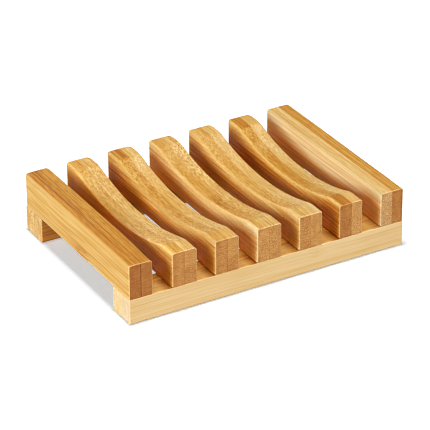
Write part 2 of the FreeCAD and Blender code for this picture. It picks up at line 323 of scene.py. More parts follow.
def bamboo(name, along, glue, way, thick, seed, top=0.3, side=0.3, bands=0.04, patch=0.12, lines=0.45, line_dark=0.30,
           pale=0.45, pale_light=0.22, dots=0.2, dot_dark=0.30, halo=0.4, bundle=1.5, crowd=0.3, tilt=0.6,
           crust=None, end=0.4, end_scale=cut, end_bands=0.05, end_dots=0.3, end_light=0.7, end_pitch=1.6, end_saw=0.35,
           end_upper=None, seam=0.0, seam_end=0.3, seam_tone=0.8, rim=0.0, brow=0.6, recess_shade=0.0, recess_shade_depths=(0.4, 5.0), rear_shift=0.0,
           front_shift=0.0, deepest_recess_shade=0.0, glow=0.0, foot=0.0, bevel=0.0, fore=0.0, bevel_front=None, end_far=None, dot_run=None, brow_far=0.45, edge_shade=0.0, face_end_light=None, front_gap_shade=0.0, rear_gap_shade=0.0, cuff=0.0, recess_shade_warmth=0.0, face_end_shade=None, corners=None,
           face_lines=1.2, face_scale=1.0, face_tint=None, top_tint=None, tint=None, knots=(), threads=(), rough=0.5):
    """Bamboo strip cut from the solid: straight fibres run along it, and its vascular bundles show as dots across
    the grain, dashes on a slanting cut and fine lines along it. Tones are places on the two scales."""
    m = bpy.data.materials.new(name)
    N = Nodes(m)
    split = N.new("ShaderNodeSeparateXYZ")
    N.put(split.inputs[0], N.new("ShaderNodeTexCoord").outputs["Object"])
    x, y, z = (N.math("MULTIPLY", o, 1000.0) for o in split.outputs)
    across, run = (x, y) if along == "Y" else (y, x)
    rad = N.math("MULTIPLY", N.math("SUBTRACT", across, glue), way)      # 0 at the glue face, thick at the open face
    rng = random.Random(seed * 131 + 5)
    o1, o2, o3 = (rng.uniform(20, 400) for _ in range(3))
    # slow waves in the fibres
    sway = N.noise(N.vec(N.math("MULTIPLY", rad, 0.05), N.math("MULTIPLY", N.math("ADD", run, o2), 0.02),
                         N.math("MULTIPLY", N.math("ADD", z, o3), 0.05)), 1.0, 1.0, 0.5, colour=True)
    sep = N.new("ShaderNodeSeparateColor")
    N.put(sep.inputs[0], sway)
    r = N.math("ADD", N.math("ADD", rad, o1), N.math("MULTIPLY", N.math("SUBTRACT", sep.outputs[0], 0.5), 1.4))
    q = N.math("ADD", N.math("ADD", z, o3), N.math("MULTIPLY", N.math("SUBTRACT", sep.outputs[1], 0.5), 1.4))
    l = N.math("ADD", run, o2)

    # nodes of the culm: over a few millimetres the fibres swing aside and darken
    rings = []
    for at, half, low, high, tone, strength in knots:
        ripple = N.noise(N.vec(N.math("MULTIPLY", r, 1.1), N.math("MULTIPLY", l, 0.16), N.math("MULTIPLY", q, 1.1)), 1.0, 2.0, 0.6)
        off = N.math("ADD", N.math("SUBTRACT", run, at), N.math("MULTIPLY", N.math("SUBTRACT", ripple, 0.5), 2.4 * half))
        bump = N.math("EXPONENT", N.math("MULTIPLY", N.math("MULTIPLY", off, off), -1.0 / (half * half)))
        soft = 0.25 * (high - low)
        bump = N.math("MULTIPLY", bump, N.math("MULTIPLY", N.span(z, low, low + soft), N.span(z, high, high - soft)))
        if high > 20.0:
            bump = N.math("MULTIPLY", bump, N.span(rad, thick - 0.4, thick - 1.3))
        rings.append((bump, tone, strength))
    for bump, _, _ in rings:
        q = N.math("ADD", q, N.math("MULTIPLY", bump, 0.7))

    def stretched(k_across, k_along, shift=0.0, k_up=None):
        return N.vec(N.math("MULTIPLY", N.math("ADD", r, shift), k_across), N.math("MULTIPLY", l, k_along),
                     N.math("MULTIPLY", q, k_up or k_across))

    skin = N.span(rad, thick - 0.9, thick - 0.1)        # 0 on the top, 1 on the open face

    def grain_of(top_scale, face_scale, shift):
        (a, b, c), (d, e) = top_scale, face_scale
        over = N.noise(stretched(a, b, shift, c), 1.0, 0.0, 0.5)
        beside = N.noise(stretched(0.2, e, shift, d), 1.0, 0.0, 0.5)
        return N.math("ADD", over, N.math("MULTIPLY", N.math("SUBTRACT", beside, over), skin))

    fine = grain_of((2.4, 0.22, 3.6), (1.9 * face_scale, 0.06), 0.0)
    dark_lines = grain_of((2.1, 0.012, 3.0), (1.15 * face_scale, 0.012), 37.0)
    pale_lines = grain_of((1.8, 0.012, 2.6), (0.95 * face_scale, 0.012), 71.0)
    wide = N.noise(stretched(0.45, 0.009, 11.0), 1.0, 1.0, 0.5)
    blotch = N.noise(stretched(0.18, 0.035, 53.0), 1.0, 2.0, 0.5)
    # vascular bundles stand in slanting rows across the strip
    ct, st = math.cos(tilt), math.sin(tilt)

    def rows_of(pitch, k_along):
        u = N.math("ADD", N.math("MULTIPLY", r, ct * pitch), N.math("MULTIPLY", q, st * pitch))
        v = N.math("SUBTRACT", N.math("MULTIPLY", q, ct * pitch), N.math("MULTIPLY", r, st * pitch))
        if k_along:
            d, hue = N.cells(N.vec(u, N.math("MULTIPLY", l, k_along), v), 1.0, 0.8, colour=True)
        else:
            d, hue = N.cells(N.vec(u, v, 0.0), 1.0, 0.8, colour=True, dims="2D")
        pick = N.new("ShaderNodeSeparateColor")
        N.put(pick.inputs[0], hue)
        return d, pick.outputs

    depth = N.math("DIVIDE", rad, thick)
    dense = N.span(depth, 0.0, 1.0, 1.0 - crowd, 1.0, smooth=False)
    d_cut, lot = rows_of(bundle, 0.40)
    pores = N.math("MULTIPLY", N.span(d_cut, 0.12, 0.34, 1.0, 0.0), N.math("MULTIPLY", dense, N.span(lot[0], 0.15, 0.75, 0.1, 1.0)))
    ringed = N.math("MULTIPLY", N.span(d_cut, 0.30, 0.52), N.math("MULTIPLY", dense, N.span(lot[1], 0.1, 0.7, 0.25, 1.0)))

    def deeper(colour, fac, amount):
        # darker and redder: as more fibre and less pith, and also where it paints shade
        a, b = tan(0.3), tan(0.3 + amount)
        return N.mix(fac, colour, tuple(q / p for p, q in zip(a, b)), blend="MULTIPLY")

    def paler(colour, fac, amount):
        return N.mix(fac, colour, (1 + 0.5 * amount, 1 + 0.9 * amount, 1 + 1.4 * amount, 1.0), blend="MULTIPLY")

    facing = N.new("ShaderNodeSeparateXYZ")
    N.put(facing.inputs[0], N.new("ShaderNodeNewGeometry").outputs["True Normal"])
    flat = N.mix(N.span(wide, 0.34, 0.66), tan(top - bands), tan(top + bands))
    face = N.mix(N.span(wide, 0.34, 0.66), tan(side - bands), tan(side + bands))
    if top_tint:
        flat = N.mix(1.0, flat, top_tint + (1.0,), blend="MULTIPLY")
    if face_tint:
        face = N.mix(1.0, face, face_tint + (1.0,), blend="MULTIPLY")
    colour = N.mix(skin, flat, face)
    edge = N.new("ShaderNodeAttribute", attribute_name="rim").outputs["Fac"]
    fall = N.new("ShaderNodeAttribute", attribute_name="own").outputs["Fac"]
    calm = N.math("MULTIPLY", skin, N.span(fall, 0.4, 2.4, 0.85, 0.0))        # just below the edge the lines are sanded away
    busy = N.math("MULTIPLY", N.span(skin, 0.0, 1.0, 1.0, face_lines, smooth=False), N.math("SUBTRACT", 1.0, calm))
    if bevel:
        # paler where the surface faces the front: partly fibres cut at a slant, partly painted light
        aslant = facing.outputs[1]
        lift = 0.45 if bevel_front is None else bevel_front / bevel
        front_facing_pale = N.math("MULTIPLY", N.math("ADD", N.span(aslant, -0.05, -0.26), N.span(aslant, 0.05, 0.26, 0.0, lift)), N.span(skin, 0.7, 0.2))
        colour = N.mix(N.math("MULTIPLY", front_facing_pale, bevel), colour, (1.0, 1.07, 1.36, 1.0), blend="MULTIPLY")
    if fore:
        # the front flats were sanded palest
        colour = N.mix(N.math("MULTIPLY", N.span(run, -31.0, -36.0), fore), colour, (1.0, 1.08, 1.30, 1.0), blend="MULTIPLY")
    colour = deeper(colour, N.math("MULTIPLY", N.span(blotch, 0.5, 0.72), patch), 0.25)
    colour = paler(colour, N.math("MULTIPLY", N.span(pale_lines, 0.44, 0.62), N.math("MULTIPLY", busy, pale)), pale_light)
    colour = deeper(colour, N.math("MULTIPLY", N.span(dark_lines, 0.46, 0.64), N.math("MULTIPLY", busy, lines)), line_dark)
    colour = deeper(colour, N.math("MULTIPLY", N.span(fine, 0.46, 0.64), N.math("MULTIPLY", busy, lines)), line_dark * 0.8)
    if dot_run:
        held = N.span(run, *dot_run)
        pores, ringed = N.math("MULTIPLY", pores, held), N.math("MULTIPLY", ringed, held)
    colour = paler(colour, N.math("MULTIPLY", ringed, halo), pale_light)
    colour = deeper(colour, N.math("MULTIPLY", pores, dots), dot_dark)
    if crust:
        # the uncut flats keep the darker skin that the scoop was cut through
        rear, front, level, tone = crust
        old = N.mix(N.span(dark_lines, 0.38, 0.62), tan(tone - 0.07), tan(tone + 0.09))
        share = N.span(run, -5.0, 5.0, front, rear)
        share = N.math("MULTIPLY", share, N.span(z, level - 0.10, level + 0.10))
        share = N.math("MULTIPLY", share, N.span(rad, thick - 0.25, thick - 0.6))
        colour = N.mix(share, colour, old)
    for bump, tone, strength in rings:
        dash = N.span(N.math("ADD", dark_lines, N.math("MULTIPLY", N.math("SUBTRACT", fine, 0.5), 1.2)), 0.40, 0.60, 0.15, 1.0)
        mark = N.math("MULTIPLY", bump, N.math("SUBTRACT", 1.0, edge))
        colour = N.mix(N.math("MULTIPLY", N.math("MULTIPLY", mark, dash), strength), colour, tan(tone))
    if seam:
        # dark fibres crowd along the glue line
        thread = N.noise(stretched(2.3, 0.014, 19.0), 1.0, 1.0, 0.5)
        broken = N.noise(stretched(1.2, 0.08, 83.0), 1.0, 2.0, 0.5)
        near = N.math("MULTIPLY", N.span(thread, 0.50, 0.58), N.span(rad, 0.2, 2.8, 1.0, 0.0))
        near = N.math("MULTIPLY", near, N.span(broken, 0.36, 0.58, 0.25, 1.0))
        colour = N.mix(N.math("MULTIPLY", near, seam), colour, tan(seam_tone))
    for at, strength, width, start, stop in threads:
        # single dark fibres, thin and broken
        off = N.math("ABSOLUTE", N.math("ADD", N.math("SUBTRACT", rad, at), N.math("MULTIPLY", N.math("SUBTRACT", sep.outputs[2], 0.5), 0.8)))
        gone = N.noise(N.vec(at * 7.3, N.math("MULTIPLY", l, 0.05), 0.0), 1.0, 2.0, 0.6)
        line = N.math("MULTIPLY", N.span(off, width * 0.35, width, 1.0, 0.0), N.span(gone, 0.36, 0.58, 0.2, 1.0))
        line = N.math("MULTIPLY", line, N.math("MULTIPLY", N.span(run, start - 3, start + 3), N.span(run, stop + 3, stop - 3)))
        line = N.math("MULTIPLY", line, N.span(z, 24.0, 24.5))
        colour = N.mix(N.math("MULTIPLY", line, strength), colour, tan(seam_tone))
    sunk = N.new("ShaderNodeAttribute", attribute_name="sunk").outputs["Fac"]
    if recess_shade:
        # painted shade: faces inside the gaps get a warmer, darker tone further below the neighbour's top, where shade
        # falls
        under = sunk
        if rear_shift:
            under = N.math("SUBTRACT", under, N.span(run, 12.0, 30.0, 0.0, rear_shift))
        if front_shift:
            under = N.math("SUBTRACT", under, N.span(run, -12.0, -30.0, 0.0, front_shift))
        open_face = N.math("MULTIPLY", N.span(rad, thick - 0.6, thick - 0.2), N.span(fall, 0.0, 1.0))
        if cuff:
            # the painted shade fades at the front corner
            open_face = N.math("MULTIPLY", open_face, N.span(run, -40.2, -41.7, 1.0, 0.65))
        below = N.math("MULTIPLY", N.span(under, *recess_shade_depths), open_face)
        colour = N.mix(N.math("MULTIPLY", below, recess_shade), colour, (1.04, 0.80, 0.47, 1.0), blend="MULTIPLY")
        # painted shade, darkest lowest down in the gap
        lowest = N.math("MULTIPLY", N.span(under, 2.5, 6.5), open_face)
        colour = N.mix(N.math("MULTIPLY", lowest, deepest_recess_shade), colour, (0.98, 0.84, 0.43, 1.0), blend="MULTIPLY")
        if recess_shade_warmth:
            # painted shade made redder where it falls
            colour = N.mix(N.math("MULTIPLY", below, recess_shade_warmth), colour, (1.13, 1.02, 0.93, 1.0), blend="MULTIPLY")
        if glow:
            # painted light: the gap faces are lighter in the middle of the run, where more light gets in past the
            # neighbour's dip
            mid_gap_light = N.math("MULTIPLY", below, N.span(N.math("ABSOLUTE", run), 20.0, 6.0))
            colour = N.mix(N.math("MULTIPLY", mid_gap_light, glow), colour, (1.20, 1.14, 1.0, 1.0), blend="MULTIPLY")
    if front_gap_shade:
        # painted shade: low on the face it is darkest towards the front, up to the eased corner
        last = N.math("MULTIPLY", N.span(run, -33.0, -39.0), N.span(run, -40.8, -42.0, 1.0, 0.0))
        last = N.math("MULTIPLY", last, N.math("MULTIPLY", N.span(fall, 3.0, 10.0), skin))
        colour = N.mix(N.math("MULTIPLY", last, front_gap_shade), colour, (0.60, 0.50, 0.40, 1.0), blend="MULTIPLY")
    if rear_gap_shade:
        # painted shade: low on the face it is darker towards the rear
        last = N.math("MULTIPLY", N.math("MULTIPLY", N.span(run, 10.0, 24.0), N.span(fall, 3.5, 7.0)), skin)
        colour = N.mix(N.math("MULTIPLY", last, rear_gap_shade), colour, (0.76, 0.66, 0.50, 1.0), blend="MULTIPLY")
    if cuff:
        # painted highlight: the open face's front corner is paler where light catches it, and at the very end it is
        # darker, and bluer lower down
        painted_corner_light = tuple(1 + k * cuff for k in (0.08, 0.28, 0.60)) + (1.0,)
        colour = N.mix(N.math("MULTIPLY", N.span(run, -40.2, -41.8), skin), colour, painted_corner_light, blend="MULTIPLY")
        corner_end_tone = N.mix(N.span(fall, 4.0, 10.0), (0.90, 0.88, 0.88, 1.0), (0.80, 0.85, 0.96, 1.0))
        colour = N.mix(N.math("MULTIPLY", N.span(run, -41.0, -42.0), skin), colour, corner_end_tone, blend="MULTIPLY")
    if corners:
        # painted shade: the corners along the feet of the slats are darkened, where shade falls
        corner_shade = 0.0
        for foot_x, strength in corners:
            corner_shade = N.math("ADD", corner_shade, N.math("MULTIPLY", N.span(run, foot_x - 4.6, foot_x, 0.0, strength), N.span(run, foot_x + 0.2, foot_x + 0.6, 1.0, 0.0)))
        corner_shade = N.math("MULTIPLY", corner_shade, N.span(facing.outputs[2], 0.5, 0.9))
        corner_shade = N.math("MULTIPLY", corner_shade, N.span(N.math("ABSOLUTE", y), 33.0, 37.0))
        colour = N.mix(corner_shade, colour, (0.52, 0.27, 0.02, 1.0), blend="MULTIPLY")
    if face_end_light:
        front, rear = face_end_light
        # painted light: the open face is lighter just below its edge towards the front and rear ends
        bright = N.math("MULTIPLY", skin, N.math("ADD", N.span(run, -14.0, -30.0, 0.0, front), N.span(run, 14.0, 30.0, 0.0, rear)))
        colour = N.mix(N.math("MULTIPLY", bright, N.math("MULTIPLY", N.span(fall, 1.0, 2.2), N.span(fall, 8.0, 5.0))), colour, (1.20, 1.25, 1.28, 1.0), blend="MULTIPLY")
    if face_end_shade:
        front, rear = face_end_shade
        # painted shade: the open face is a little darker just below its edge towards the front and rear ends
        shy = N.math("MULTIPLY", skin, N.math("ADD", N.span(run, -12.0, -28.0, 0.0, front), N.span(run, 12.0, 28.0, 0.0, rear)))
        colour = N.mix(N.math("MULTIPLY", shy, N.math("MULTIPLY", N.span(fall, 0.3, 1.0), N.span(fall, 4.2, 2.4))), colour, (0.86, 0.84, 0.82, 1.0), blend="MULTIPLY")
    if foot:
        # painted shade: a darker line where the strip stands on its rail
        colour = deeper(colour, N.span(z, foot + 0.1, foot + 0.7, 0.8, 0.0), 0.45)

    # end grain
    cap = N.span(N.math("ABSOLUTE", facing.outputs[1 if along == "Y" else 0]), 0.80, 0.97)
    saw = N.noise(N.vec(N.math("MULTIPLY", r, 0.25), 0.0, N.math("MULTIPLY", q, 2.4)), 1.0, 1.0, 0.5)
    cloud = N.noise(N.vec(N.math("MULTIPLY", r, 0.45), 0.0, N.math("MULTIPLY", q, 0.18)), 1.0, 2.0, 0.5)
    grit = N.noise(N.vec(N.math("MULTIPLY", r, 2.6), 0.0, N.math("MULTIPLY", q, 2.6)), 1.0, 1.0, 0.5)
    d_end, side_lot = rows_of(end_pitch, 0.0)
    grain = N.mix(N.span(cloud, 0.32, 0.68), end_scale(end - end_bands), end_scale(end + end_bands))
    if end_far is not None:
        grain = N.mix(N.span(run, -5.0, 5.0), grain, N.mix(N.span(cloud, 0.32, 0.68), end_scale(end_far - end_bands), end_scale(end_far + end_bands)))
    if end_upper:
        level, tone = end_upper
        grain = N.mix(N.math("MULTIPLY", N.span(N.math("ADD", z, N.math("MULTIPLY", N.math("SUBTRACT", cloud, 0.5), 4.0)), level - 1.2, level + 1.2), 0.85),
                      grain, end_scale(tone))
    grain = deeper(grain, N.math("MULTIPLY", N.span(saw, 0.46, 0.62), end_saw), 0.25)
    grain = deeper(grain, N.math("MULTIPLY", N.span(grit, 0.46, 0.62), end_dots), 0.30)
    light = N.math("MULTIPLY", N.span(d_end, 0.12, 0.42, 1.0, 0.0), N.span(side_lot[0], 0.1, 0.7, 0.3, 1.0))
    grain = N.mix(N.math("MULTIPLY", light, end_light), grain, end_scale(end - 0.30))
    if seam_end:
        grain = N.mix(N.math("MULTIPLY", N.span(rad, 0.06, 0.22, 1.0, 0.0), seam_end), grain, cut(seam_tone + 0.1))
    colour = N.mix(cap, colour, grain)

    # the eased edges: paler, partly sanded wood and partly painted highlight, less so on edges that face up; or darker,
    # painted shade that dims their highlight
    if rim < 0:
        colour = deeper(colour, N.math("MULTIPLY", edge, -rim), 0.30)
    if edge_shade:
        # painted shade: the eased edges are dimmed a little
        colour = N.mix(N.math("MULTIPLY", edge, edge_shade), colour, (0.77, 0.76, 0.71, 1.0), blend="MULTIPLY")
    edge_wear_and_highlight = N.math("MULTIPLY", N.new("ShaderNodeAttribute", attribute_name="brow").outputs["Fac"], N.span(run, -8.0, 8.0, brow, brow * brow_far))
    edge_wear_and_highlight = N.math("MULTIPLY", edge_wear_and_highlight, N.span(facing.outputs[2], 0.15, 0.6, 1.0, 0.6))
    edge_wear_and_highlight = N.math("ADD", N.math("MULTIPLY", edge, max(rim, 0.0)), edge_wear_and_highlight, clamp=True)
    colour = N.mix(N.math("MULTIPLY", edge_wear_and_highlight, N.span(pale_lines, 0.25, 0.65, 0.6, 1.0)), colour, tan(0.0))
    if tint:
        colour = N.mix(N.math("MAXIMUM", skin, cap), colour, tint + (1.0,), blend="MULTIPLY")

    shader = N.new("ShaderNodeBsdfPrincipled")
    N.put(shader.inputs["Base Color"], colour)
    gloss = N.math("ADD", N.span(fine, 0.2, 0.8, rough - 0.07, rough + 0.08), N.math("MULTIPLY", cap, 0.14))
    N.put(shader.inputs["Roughness"], gloss)
    shader.inputs["Specular IOR Level"].default_value = 0.22
    dent = N.new("ShaderNodeBump")
    dent.inputs["Strength"].default_value = 0.12
    dent.inputs["Distance"].default_value = 0.0001
    N.put(dent.inputs["Height"], N.math("SUBTRACT", N.math("MULTIPLY", fine, 0.7), N.math("MULTIPLY", pores, 0.6)))
    N.put(shader.inputs["Normal"], dent.outputs[0])
    out = N.new("ShaderNodeOutputMaterial")
    N.put(out.inputs["Surface"], shader.outputs[0])
    return m


# ------------------------------------------------------------------ the pieces
pieces = []


def finish_piece(obj, node, material):
    even_normals(obj)
    obj.data.materials.clear()
    obj.data.materials.append(material)
    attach(obj, "root")
    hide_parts(node)
    pieces.append(obj)


SLATS = [
    # node, slat number, side (-1 left, 1 right)
    ("left_end_slat_outer_strip", 0, -1), ("left_end_slat_inner_strip", 0, 1),
    ("slat_2_left_strip", 1, -1), ("slat_2_right_strip", 1, 1),
    ("slat_3_left_strip", 2, -1), ("slat_3_right_strip", 2, 1),
    ("slat_4_left_strip", 3, -1), ("slat_4_right_strip", 3, 1),
    ("slat_5_left_strip", 4, -1), ("slat_5_right_strip", 4, 1),
    ("slat_6_left_strip", 5, -1), ("slat_6_right_strip", 5, 1),
    ("right_end_slat_inner_strip", 6, -1), ("right_end_slat_outer_strip", 6, 1),
]
SHAPE = {
    # slat: rounding of its left and right long top edges (front end, rest), crown of its two strips, easing of its front
    # and rear ends, rounding of its upright corners on the left and right (front, rear), lift of its scoop and how much of
    # that the left edge lacks
    0: (((1.0, 1.0), (1.2, 0.5)), (0.10, 0.10), (0.30, 0.8), ((0.3, 1.2), (0.3, 2.0)), 0.0, 0.0),
    1: (((0.9, 0.7), (1.2, 0.6)), (0.15, 0.10), (0.30, 0.7), ((0.6, 0.9), (0.3, 2.6)), 0.40, 0.85),
    2: (((0.9, 0.6), (1.0, 0.5)), (0.12, 0.06), (0.30, 0.7), ((0.6, 0.9), (0.3, 2.6)), 0.25, 0.0),
    3: (((0.9, 0.8), (0.8, 0.5)), (0.08, 0.04), (0.30, 0.7), ((0.6, 0.9), (0.3, 2.6)), 0.6, 0.0),
    4: (((0.8, 0.6), (0.7, 0.5)), (0.05, 0.04), (0.30, 0.7), ((0.6, 0.9), (0.3, 2.4)), 0.30, 0.0),
    5: (((0.7, 0.6), (0.7, 0.7)), (0.05, 0.04), (0.30, 0.7), ((0.5, 0.9), (0.3, 2.4)), -0.2, 0.0),
    6: (((0.9, 0.9), (1.0, 0.8)), (0.04, 0.06), (0.30, 0.8), ((0.5, 0.9), (0.3, 1.4)), 0.0, 0.0),
}
# how much wider than 5 mm each slat's left and right strip is at its front end and at its rear end
WIDER = {
    0: ((0.0, 0.0), (-0.2, 0.0)), 1: ((0.32, 0.3), (0.4, 0.0)), 2: ((0.38, 0.42), (0.06, 0.0)), 3: ((0.45, 0.15), (0.25, 0.0)),
    4: ((0.33, 0.3), (0.0, 0.0)), 5: ((0.6, 0.2), (-0.25, 0.0)), 6: ((0.23, 0.35), (0.05, 0.0)),
}
# per strip tones and grain, and the strength of painted light and shade on its faces and edges
LOOK = {
    "left_end_slat_outer_strip": dict(
        face_tint=(1.0, 0.98, 0.88), bands=0.05, face_scale=0.9, foot=0.0, top=0.51, side=0.26, lines=0.45, face_lines=0.75, pale=0.5, halo=0.0, dots=0.0, end=0.58, end_saw=0.5, end_dots=0.3, end_bands=0.03,
        end_light=0.12, seam_tone=0.88, seam_end=0.8, knots=[(-5.0, 5.0, 9.0, 15.5, 0.60, 0.8)],
        threads=[(0.10, 0.7, 0.26, -8, 43), (0.95, 0.75, 0.26, 0, 43), (2.2, 0.7, 0.26, 6, 43), (1.5, 0.4, 0.24, -43, 8), (3.3, 0.35, 0.24, -40, 5)]),
    "left_end_slat_inner_strip": dict(
        top=0.47, side=0.42, lines=0.45, pale=0.35, bands=0.02, patch=0.05, halo=0.0, dots=0.0, end=0.54, end_saw=0.5, end_dots=0.3, end_bands=0.03,
        end_light=0.12, seam_tone=0.88, seam_end=0.5, threads=[(1.1, 0.5, 0.24, 2, 43), (0.45, 0.45, 0.24, -43, 0), (2.4, 0.3, 0.24, 10, 43), (3.4, 0.25, 0.24, -30, 43)]),
    "slat_2_left_strip": dict(rear_shift=-1.0, edge_shade=0.3, deepest_recess_shade=0.8, brow=0.4, face_lines=0.9, face_tint=(1.0, 0.96, 0.80), bevel_front=0.0, glow=1.0, recess_shade=0.9, rim=0.0, top=0.395, side=0.245, lines=0.34, bevel=1.25, dots=0.25, halo=0.5, end=0.43, end_saw=0.4, end_dots=0.25, end_light=0.35, seam_end=0.2),
    "slat_2_right_strip": dict(top=0.29, side=0.34, lines=0.4, dots=0.25, halo=0.55, end=0.43, end_upper=(18.0, 0.33), end_saw=0.4, end_dots=0.25, end_light=0.5, seam_end=0.2),
    "slat_3_left_strip": dict(rear_gap_shade=0.4, front_gap_shade=0.7, brow=0.4, face_tint=(0.99, 0.97, 0.83), glow=1.0, rim=-0.4, top=0.42, side=0.22, lines=0.45, face_lines=1.4, bevel=1.1, fore=0.8, recess_shade_depths=(0.2, 4.0), crust=(0.95, 0.10, 24.6, 0.56), end=0.43, end_saw=0.45, end_dots=0.25, end_light=0.45, seam_end=0.3),
    "slat_3_right_strip": dict(top=0.28, side=0.34, lines=0.28, pale=0.3, dots=0.15, halo=0.35, end=0.46, end_upper=(16.5, 0.31), end_saw=0.45, end_dots=0.3, end_light=0.6, seam_end=0.3),
    "slat_4_left_strip": dict(
        face_end_shade=(0.6, 0.9), recess_shade_warmth=0.8, face_end_light=(0.0, 0.3), cuff=0.35, front_gap_shade=0.6, recess_shade=0.6, deepest_recess_shade=0.5, brow=0.45, face_tint=(1.0, 0.96, 0.83), bevel_front=0.05, glow=1.5, top=0.41, side=0.12, rim=-0.25, lines=0.3, face_lines=1.0, pale=0.3, patch=0.06, bevel=1.1, fore=1.0, recess_shade_depths=(1.2, 6.0), crust=(0.6, 0.0, 24.6, 0.33), end=0.37, end_light=0.6, seam_end=0.15,
        knots=[(-10.0, 7.0, 15.0, 26.0, 0.66, 0.9), (-24.0, 4.0, 15.0, 26.0, 0.62, 0.25)]),
    "slat_4_right_strip": dict(dot_run=(-8.0, 12.0), bevel_front=0.1, bevel=0.75, top=0.30, side=0.32, lines=0.45, fore=0.9, dots=1.0, dot_dark=0.40, halo=1.0, crowd=0.8, bundle=1.05, end=0.40, end_light=0.75, end_dots=0.5, seam_end=0.15),
    "slat_5_left_strip": dict(face_end_shade=(0.1, 0.6), rear_gap_shade=0.7, front_gap_shade=0.65, front_shift=0.0, deepest_recess_shade=0.85, recess_shade=0.88, brow=0.4, face_tint=(1.0, 0.96, 0.84), glow=1.2, rim=-0.2, top=0.375, side=0.22, lines=0.42, face_lines=0.95, fore=1.0, dots=0.3, halo=0.5, end=0.43, end_light=0.7, seam_end=0.12),
    "slat_5_right_strip": dict(top=0.27, side=0.32, lines=0.22, pale=0.25, fore=0.9, dots=0.1, halo=0.2, end=0.34, end_light=0.2, end_dots=0.2, seam_end=0.0),
    "slat_6_left_strip": dict(
        face_end_shade=(0.5, 0.5), rear_gap_shade=0.8, cuff=0.3, deepest_recess_shade=1.4, brow=0.3, face_tint=(0.98, 0.93, 0.75), rim=-0.1, bevel_front=0.25, glow=0.2, top=0.45, side=0.24, lines=0.42, face_lines=1.5, bevel=1.3, recess_shade_depths=(0.2, 3.2), rear_shift=1.5, crust=(0.9, 0.85, 24.55, 0.61), dots=0.3, halo=0.6, end=0.52, end_saw=0.45, end_dots=0.35, end_light=0.5,
        seam_end=0.0, knots=[(-19.0, 3.0, 15.0, 26.0, 0.36, 0.6)]),
    "slat_6_right_strip": dict(top=0.28, side=0.32, lines=0.22, pale=0.3, crust=(0.45, 0.1, 24.55, 0.40), dots=0.15, halo=0.35, end=0.34, end_light=0.75, end_dots=0.4, seam_end=0.0),
    "right_end_slat_inner_strip": dict(face_end_shade=(0.2, 0.0), recess_shade_warmth=1.0, cuff=0.4, front_gap_shade=0.6, face_end_light=(0.75, 0.25), recess_shade_depths=(0.8, 5.0), brow=0.4, face_tint=(0.96, 0.97, 0.93), deepest_recess_shade=0.0, front_shift=1.3, top=0.22, side=0.145, rim=-0.1, lines=0.26, face_lines=1.15, pale=0.3, rear_shift=1.5, dots=0.0, halo=0.0, end=0.27, end_light=0.75, end_dots=0.4, seam_end=0.0, tint=(0.95, 0.98, 1.14)),
    "right_end_slat_outer_strip": dict(face_scale=1.5, face_lines=0.7, top=0.43, side=0.33, lines=0.35, pale=0.3, bands=0.03, dots=0.0, halo=0.0, end=0.49, end_saw=0.45, end_dots=0.4, end_light=0.3, seam_end=0.0),
    "front_rail_outer_strip": dict(top_tint=(1.08, 1.06, 0.93), face_lines=0.5, end_far=0.20, pale=0.12, lines=0.34, top=0.23, side=0.185, end=0.03, knots=[(21.0, 2.5, 5.0, 10.5, 0.42, 0.5)]),
    "front_rail_inner_strip": dict(top_tint=(1.08, 1.06, 0.93), face_lines=0.8, end_far=0.22, tint=None, lines=0.6, top=0.345, side=0.36, end=0.04, recess_shade=0.5),
    "rear_rail_inner_strip": dict(end_far=0.26, face_tint=(1.14, 1.0, 0.95), top=0.30, side=0.32, lines=0.6, end=0.20, end_bands=0.10, end_dots=0.8, recess_shade=0.6, tint=None),
    "rear_rail_outer_strip": dict(end_far=0.25, top=0.30, side=0.22, end=0.18, end_bands=0.10, end_dots=0.8, tint=None),
}
for k, (node, number, side) in enumerate(SLATS):
    xc = (number - 3) * PITCH
    scooped = 1 <= number <= 5
    rounds, crowns, ease, corners, lift, lack = SHAPE[number]
    front_w, rear_w = WIDER[number][0 if side < 0 else 1]
    taper = lambda s, f=front_w, r=rear_w: (f if s < 0 else r) * (lambda t: t * t * (3 - 2 * t))(min(max((abs(s) - 12.0) / 22.0, 0.0), 1.0))
    # a scoop lifted by a trace stays flush with the slat's flat ends
    dip = (lambda s: min((TOP - scoop(s)) / (TOP - SEAT), 1.0)) if scooped else (lambda s: 0.0)
    crest = (lambda s, lift=lift, dip=dip: scoop(s) + lift * dip(s)) if scooped else (lambda s: TOP)
    drop = crowns[0 if side < 0 else 1]
    arch = lambda s, drop=drop, lack=lack if side < 0 else 0.0, dip=dip: drop + lack * dip(s)
    obj = strip_piece(
        node + ".bamboo", DEPTH, STRIP, crest, lambda s: RAIL_TOP,
        lambda s, a, b, xc=xc, side=side: (xc + side * a, s, b), seed=11 + k,
        r_top=rounds[0 if side < 0 else 1], crown=arch, ease=ease,
        corner=corners[0 if side < 0 else 1], wider=taper,
        beside=scoop if 1 <= number + side <= 5 else (lambda s: TOP))
    outward = node in ("left_end_slat_outer_strip", "right_end_slat_outer_strip")
    # by default the faces inside the gaps and the eased edges get painted shade, and the front corners a painted
    # highlight
    look = dict(recess_shade=0.0 if outward else 1.0, bevel=0.75 if scooped else 0.0, foot=RAIL_TOP, deepest_recess_shade=0.0 if outward else 1.0, edge_shade=0.7 if side < 0 else 0.4,
                front_gap_shade=0.85 if side < 0 < number else 0.0, cuff=0.25 if side < 0 < number else 0.0, face_end_shade=(0.4, 0.9) if side < 0 < number < 6 else (0.7, 0.0) if side < 0 < number else None)
    look.update(LOOK[node])
    mat = bamboo("bamboo_" + node, "Y", xc, side, STRIP, seed=3 + k, **look)
    finish_piece(obj, node, mat)

